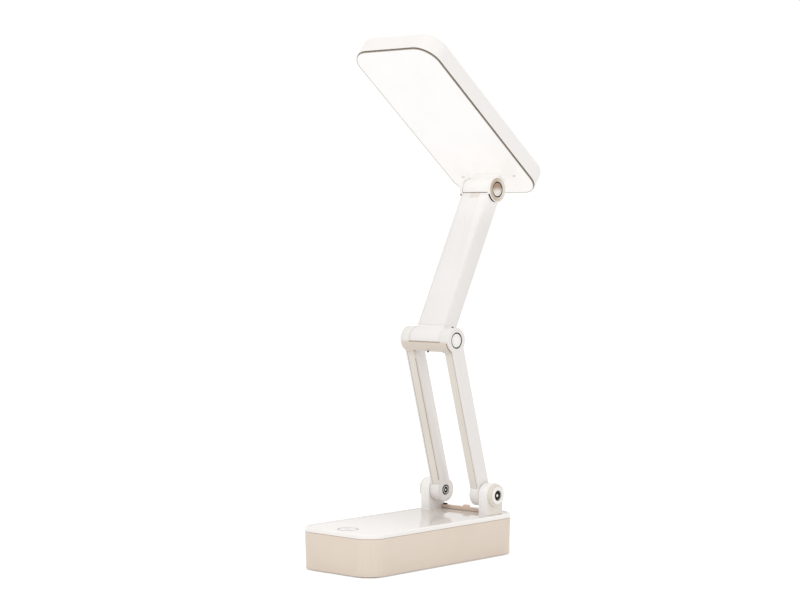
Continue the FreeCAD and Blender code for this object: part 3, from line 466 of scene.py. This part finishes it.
def makeArcStrip(name, side, strip, hinge, body, finish):
    # a thin strip curved round a hinge, from its near end to its far end along X
    centre = hinges[hinge]
    near, far = strip["near"] * mm, strip["far"] * mm
    clearSelection()
    bpy.ops.mesh.primitive_circle_add(
        vertices=180, radius=(strip["inner"] + strip["thick"] / 2) * mm,
        location=centre + Vector((side * near, 0, 0)), rotation=(0, math.pi / 2, 0))
    item = bpy.context.object
    applyPlace(item)

    def outsideArc(vertex):
        across, up = vertex.co.y - centre.y, vertex.co.z - centre.z
        turn = math.degrees(math.atan2(up, across)) % 360
        return not strip["start"] <= turn <= strip["end"]

    pickIn(item, "VERT", outsideArc)
    bpy.ops.mesh.delete(type="VERT")
    bpy.ops.mesh.select_all(action="SELECT")
    bpy.ops.mesh.extrude_edges_move()
    bpy.ops.transform.translate(value=(side * (far - near), 0, 0))
    bpy.ops.object.mode_set(mode="OBJECT")
    applyModifier(item, "SOLIDIFY", thickness=strip["thick"] * mm, offset=0)
    faceOutwards(item)
    softRim(item, strip["round"] * mm)
    finishPiece(item, name, body, "dark_steel", finish)


for name, side in lampSides:
    makeArcStrip(name + "EarStrip", side, earShadow, "head_hinge", "upper_arm", "dark_steel")

neckSeam = {"inner": 8.17, "thick": 0.2, "near": -12.3, "far": 12.3,
            "start": 193.5, "end": 198.5, "round": 0.05}  # painted shadow: a dark line in the gap between knuckle and arm

makeArcStrip("neckSeam", 1, neckSeam, "head_hinge", "upper_arm", "seam_line")

bandSeam = {"inner": 9.08, "thick": 0.2, "near": -14.8, "far": 14.8,
            "start": 186, "end": 189, "round": 0.05}  # painted shadow under the barrel, over the elbow band's top edge
elbowSeamShade = {"inner": 9.35, "thick": 0.4, "near": 21.64, "far": 21.96,
             "start": 190, "end": 245, "round": 0.05}  # painted shadow in the gap between the band and a side cover

makeArcStrip("bandSeam", 1, bandSeam, "elbow_hinge", "lower_arm", "seam_warm")
for name, side in lampSides:
    makeArcStrip(name + "ElbowSeam", side, elbowSeamShade, "elbow_hinge", "lower_arm", "seam_warm")
print("strips round the hinges made")

screwCollar = {"inner": 2.3, "outer": 2.75, "thick": 0.1, "out": 15.28}  # bright, on the head
screwDiamond = {"half": 0.9, "thick": 0.3, "out": 15.5}  # bright bit in the cross
nutGlint = {"half": 1.3, "thick": 0.3, "out": 34.85}  # painted highlight: a bright diamond at the screw's end, standing in for the glint in the dark nut


def makeDiamond(name, centre, diamond, body, slot):
    clearSelection()
    bpy.ops.mesh.primitive_circle_add(vertices=4, radius=diamond["half"] * mm, location=centre,
                                      rotation=(0, math.pi / 2, 0), fill_type="NGON")
    item = bpy.context.object
    applyPlace(item)
    applyModifier(item, "SOLIDIFY", thickness=diamond["thick"] * mm, offset=0)
    softRim(item, diamond["thick"] * mm * thinRim)
    finishPiece(item, name, body, slot)


for name, side in lampSides:
    body = nodeBodies[name + "_pivot_screw"]
    pivot = hinges["base_hinge"]
    makeRing(name + "ScrewCollar", pivot + Vector((side * screwCollar["out"] * mm, 0, 0)),
             screwCollar, body, "hinge_cap")
    for label, diamond in (("ScrewDiamond", screwDiamond), ("NutDiamond", nutGlint)):
        makeDiamond(name + label, pivot + Vector((side * diamond["out"] * mm, 0, 0)), diamond,
                    body, "hinge_cap")
print("pivot screws dressed")


# Thin inlays, dark lines of painted shade in the seams and round the head, and small pips around
# the elbow

ownFrames = {"base": (Vector((0, 0, 0)), 0), "lower_arm": (hinges["base_hinge"], 15.8),
             "upper_arm": (hinges["elbow_hinge"], -27.2),
             "lamp_head": (hinges["head_hinge"], -38.1)}  # a body's hinge and its lean in degrees


def onBody(body, place):
    # a place in a body's own millimetres, measured from its hinge before it leans
    start, lean = ownFrames[body]
    return start + Matrix.Rotation(math.radians(lean), 3, "X") @ Vector(place) * mm


inlays = {  # body, middle, size, slot and finish
    "touchDash": ("base", (0, -65.0, 30.12), (5.0, 0.9, 0.08), "touch_print", "touch_print"),
    # painted shadow: dark strips down the leg seams, where the gaps are in shade
    "leftLegSeam": ("lower_arm", (-21.8, -5.85, 59.5), (0.34, 0.3, 104), trimSlot, "seam_warm"),
    "rightLegSeam": ("lower_arm", (21.8, -5.85, 59.5), (0.34, 0.3, 104), trimSlot, "seam_warm"),
    "leftInnerSeam": ("lower_arm", (-15.18, -5.62, 58), (0.1, 0.6, 96), trimSlot, "seam_warm"),
    "rightInnerSeam": ("lower_arm", (15.18, -5.62, 58), (0.1, 0.6, 96), trimSlot, "seam_warm"),
    # painted shade: thin dark lines round the head's face outline, standing in for its shadow gap
    "headEndLine": ("lamp_head", (0, 18.4, 11.93), (45.4, 0.5, 0.1), trimSlot, "clip_grey"),
    "headFrontLine": ("lamp_head", (0, -142.4, 11.93), (45.4, 0.5, 0.1), trimSlot, "clip_grey"),
    "leftHeadLine": ("lamp_head", (-38.1, -62, 11.93), (0.5, 130, 0.1), trimSlot, "clip_grey"),
    "rightHeadLine": ("lamp_head", (38.1, -62, 11.93), (0.5, 130, 0.1), trimSlot, "clip_grey"),
    "leftClip": ("lamp_head", (-25, -1, 12.0), (2.9, 0.7, 0.3), trimSlot, "clip_grey"),
    "rightClip": ("lamp_head", (25, -1, 12.0), (2.9, 0.7, 0.3), trimSlot, "clip_grey"),
    "armCatch": ("upper_arm", (0, -6.47, 116.1), (9.3, 0.16, 3.3), trimSlot, "tab_warm")}
inlayRim = {"ends": 0.4, "endSteps": 5, "faces": 0.25}  # shares of the width and the thickness


def makeInlay(name, body, middle, size, slot, finish):
    # a thin plate with round ends and soft rims, placed in its body's own frame
    thin, narrow = size.index(min(size)), sorted(size)[1]
    clearSelection()
    bpy.ops.mesh.primitive_cube_add(size=1)
    item = bpy.context.object
    item.scale = [side * mm for side in size]
    applyPlace(item)

    def acrossThin(edge):
        one, other = (item.data.vertices[number].co for number in edge.vertices)
        return abs(one[thin] - other[thin]) > min(size) * mm / 2

    pickIn(item, "EDGE", acrossThin)
    bpy.ops.mesh.bevel(offset=narrow * mm * inlayRim["ends"], segments=inlayRim["endSteps"],
                       affect="EDGES")
    bpy.ops.object.mode_set(mode="OBJECT")
    softRim(item, min(size) * mm * inlayRim["faces"], 1)
    item.rotation_euler = (math.radians(ownFrames[body][1]), 0, 0)
    item.location = onBody(body, middle)
    finishPiece(item, name, body, slot, finish)


for name, inlay in inlays.items():
    makeInlay(name, *inlay)
print("inlays made:", len(inlays))

headCorner = {"back": (22.7, 3.0, 11.93), "front": (22.7, -127.0, 11.93),
              "inner": 15.15, "outer": 15.65, "thick": 0.1}  # the middles of the corners' arcs


def makeHeadCorner(name, side, end, corner):
    # a quarter of a flat ring that carries the head's outline of painted shade round its corner
    x, y, z = corner["back" if end > 0 else "front"]
    middle = onBody("lamp_head", (side * x, y, z))
    lean = math.radians(ownFrames["lamp_head"][1])
    clearSelection()
    bpy.ops.mesh.primitive_circle_add(vertices=128, radius=corner["inner"] * mm, location=middle,
                                      rotation=(lean, 0, 0))
    item = bpy.context.object
    applyPlace(item)
    along = Matrix.Rotation(lean, 3, "X") @ Vector((0, end, 0))
    justBefore = -0.01 * mm
    pickIn(item, "VERT", lambda vertex: side * (vertex.co - middle).x < justBefore
           or (vertex.co - middle).dot(along) < justBefore)
    bpy.ops.mesh.delete(type="VERT")
    bpy.ops.mesh.select_all(action="SELECT")
    bpy.ops.mesh.extrude_edges_move()
    bpy.ops.transform.resize(value=[corner["outer"] / corner["inner"]] * 3,
                             center_override=middle)
    bpy.ops.object.mode_set(mode="OBJECT")
    applyModifier(item, "SOLIDIFY", thickness=corner["thick"] * mm, offset=0)
    faceOutwards(item)
    softRim(item, corner["thick"] * mm * thinRim)
    finishPiece(item, name, "lamp_head", trimSlot, "clip_grey")


for name, side in lampSides:
    for label, end in (("BackCorner", 1), ("FrontCorner", -1)):
        makeHeadCorner(name + label, side, end, headCorner)
print("head outline made")

coverSeam = {"halfWide": 35.6, "halfLong": 80.1, "corner": 14.6, "cornerSteps": 14, "low": 27.0,
             "tall": 0.3, "thick": 0.4, "rim": 0.04}  # shadow line between tray and cover


def makeCoverSeam(seam):
    # a closed band that follows the base's outline
    clearSelection()
    bpy.ops.mesh.primitive_plane_add(size=2, location=(0, 0, seam["low"] * mm))
    item = bpy.context.object
    item.scale = (seam["halfWide"] * mm, seam["halfLong"] * mm, 1)
    applyPlace(item)
    pickIn(item, "VERT", lambda vertex: True)
    bpy.ops.mesh.bevel(offset=seam["corner"] * mm, segments=seam["cornerSteps"],
                       affect="VERTICES", profile=0.5)
    bpy.ops.mesh.select_all(action="SELECT")
    bpy.ops.mesh.delete(type="ONLY_FACE")
    bpy.ops.mesh.select_all(action="SELECT")
    bpy.ops.mesh.extrude_edges_move()
    bpy.ops.transform.translate(value=(0, 0, seam["tall"] * mm))
    faceOutwards(item)
    applyModifier(item, "SOLIDIFY", thickness=seam["thick"] * mm, offset=-1)
    faceOutwards(item)
    softRim(item, seam["rim"] * mm)
    finishPiece(item, "coverSeam", "base", trimSlot, "seam_warm")


makeCoverSeam(coverSeam)
print("cover seam made")

pipLook = {"radius": 0.62, "tall": 0.9, "crown": 0.15, "inset": 0.279, "rim": 0.09}
pips = {"bandPip": ((2.0, -9.3, 113.3), (0, 0, -1), "dark_steel"),
        "cornerPip": ((-15.0, -5.6, 111.4), (1, 0, 0), trimSlot),
        "earPip": ((20.6, 1.5, 128.9), (0, 0.15, 1), "dark_steel")}


def makePip(name, place, facing, slot):
    # a small domed pip with its foot sunk in what carries it
    centre = onBody("lower_arm", place)
    facing = (onBody("lower_arm", Vector(place) + Vector(facing)) - centre).normalized()
    clearSelection()
    bpy.ops.mesh.primitive_cylinder_add(vertices=28, radius=pipLook["radius"] * mm,
                                        depth=pipLook["tall"] * mm, location=centre,
                                        rotation=facing.to_track_quat("Z", "Y").to_euler())
    item = bpy.context.object
    applyPlace(item)
    pickIn(item, "FACE", lambda face: face.normal.dot(facing) > 0.9)
    bpy.ops.mesh.inset(thickness=pipLook["inset"] * mm, depth=pipLook["crown"] * mm)
    bpy.ops.object.mode_set(mode="OBJECT")
    softRim(item, pipLook["rim"] * mm, angle=20)
    finishPiece(item, name, "lower_arm", slot)


for name, (place, facing, slot) in pips.items():
    makePip(name, place, facing, slot)
print("pips made:", len(pips))


# Stage, light and camera

stageLook = {"floorSize": 12.0, "floorColour": (0.86, 0.86, 0.86), "floorRoughness": 0.9,
             "floorLift": 0.32, "worldColour": (1.0, 0.995, 0.985), "worldLight": 0.86,
             "worldSeen": 1.02}
studioLights = {"keyLight": {"place": (0.6, -1.6, 1.6), "size": 1.4, "power": 10.0},
                "sideLight": {"place": (1.9, 0.3, 0.9), "size": 1.2, "power": 2.5}}
lampMiddle = Vector((0, 0, 0.15))


def seenDirectly(tree, links):
    # 1 for what the camera, a reflection or a clear piece shows, and 0 for plain light
    path = tree.new("ShaderNodeLightPath")
    first, second = tree.new("ShaderNodeMath"), tree.new("ShaderNodeMath")
    for adder in (first, second):
        adder.operation = "ADD"
        adder.use_clamp = True
    links.new(path.outputs["Is Camera Ray"], first.inputs[0])
    links.new(path.outputs["Is Glossy Ray"], first.inputs[1])
    links.new(first.outputs[0], second.inputs[0])
    links.new(path.outputs["Is Transmission Ray"], second.inputs[1])
    return second.outputs[0]


def makeFloor():
    clearSelection()
    bpy.ops.mesh.primitive_plane_add(size=stageLook["floorSize"], location=(0, 0, 0))
    floor = bpy.context.object
    floor.name = "floor"
    material, tree, links = startMaterial("paleFloor")
    shader = tree["Principled BSDF"]
    shader.inputs["Base Color"].default_value = (*stageLook["floorColour"], 1)
    shader.inputs["Roughness"].default_value = stageLook["floorRoughness"]
    shader.inputs["Specular IOR Level"].default_value = 0
    shader.inputs["Emission Color"].default_value = (1, 1, 1, 1)
    lift = tree.new("ShaderNodeMath")
    lift.operation = "MULTIPLY"
    lift.inputs[1].default_value = stageLook["floorLift"]
    links.new(seenDirectly(tree, links), lift.inputs[0])
    links.new(lift.outputs[0], shader.inputs["Emission Strength"])
    floor.data.materials.append(material)


def makeWorld():
    world = bpy.data.worlds.new("paleRoom")
    world.use_nodes = True
    bpy.context.scene.world = world
    tree, links = world.node_tree.nodes, world.node_tree.links
    background = tree["Background"]
    background.inputs["Color"].default_value = (*stageLook["worldColour"], 1)
    level = tree.new("ShaderNodeMapRange")
    level.inputs["To Min"].default_value = stageLook["worldLight"]
    level.inputs["To Max"].default_value = stageLook["worldSeen"]
    links.new(seenDirectly(tree, links), level.inputs["Value"])
    links.new(level.outputs["Result"], background.inputs["Strength"])


def areaLight(name, light):
    bpy.ops.object.light_add(type="AREA", location=light["place"])
    source = bpy.context.object
    source.name = name
    source.data.size = light["size"]
    source.data.energy = light["power"]
    aim = lampMiddle - Vector(light["place"])
    source.rotation_euler = aim.to_track_quat("-Z", "Y").to_euler()


view = {"place": (0.99733, -1.10082, 0.24304), "azimuth": 42.457, "down": 2.062,
        "focalPixels": 2054.2, "imageWidth": 800, "sensor": 36.0, "reach": 50}


def makeCamera():
    bpy.ops.object.camera_add(location=view["place"],
                              rotation=(math.radians(90 - view["down"]), 0,
                                        math.radians(view["azimuth"])))
    camera = bpy.context.object
    camera.data.sensor_width = view["sensor"]
    camera.data.lens = view["focalPixels"] / view["imageWidth"] * view["sensor"]
    camera.data.clip_end = view["reach"]
    bpy.context.scene.camera = camera


makeFloor()
makeWorld()
for name, light in studioLights.items():
    areaLight(name, light)
makeCamera()
bpy.context.scene.view_settings.view_transform = "Standard"
print("stage ready")

bpy.context.view_layer.update()
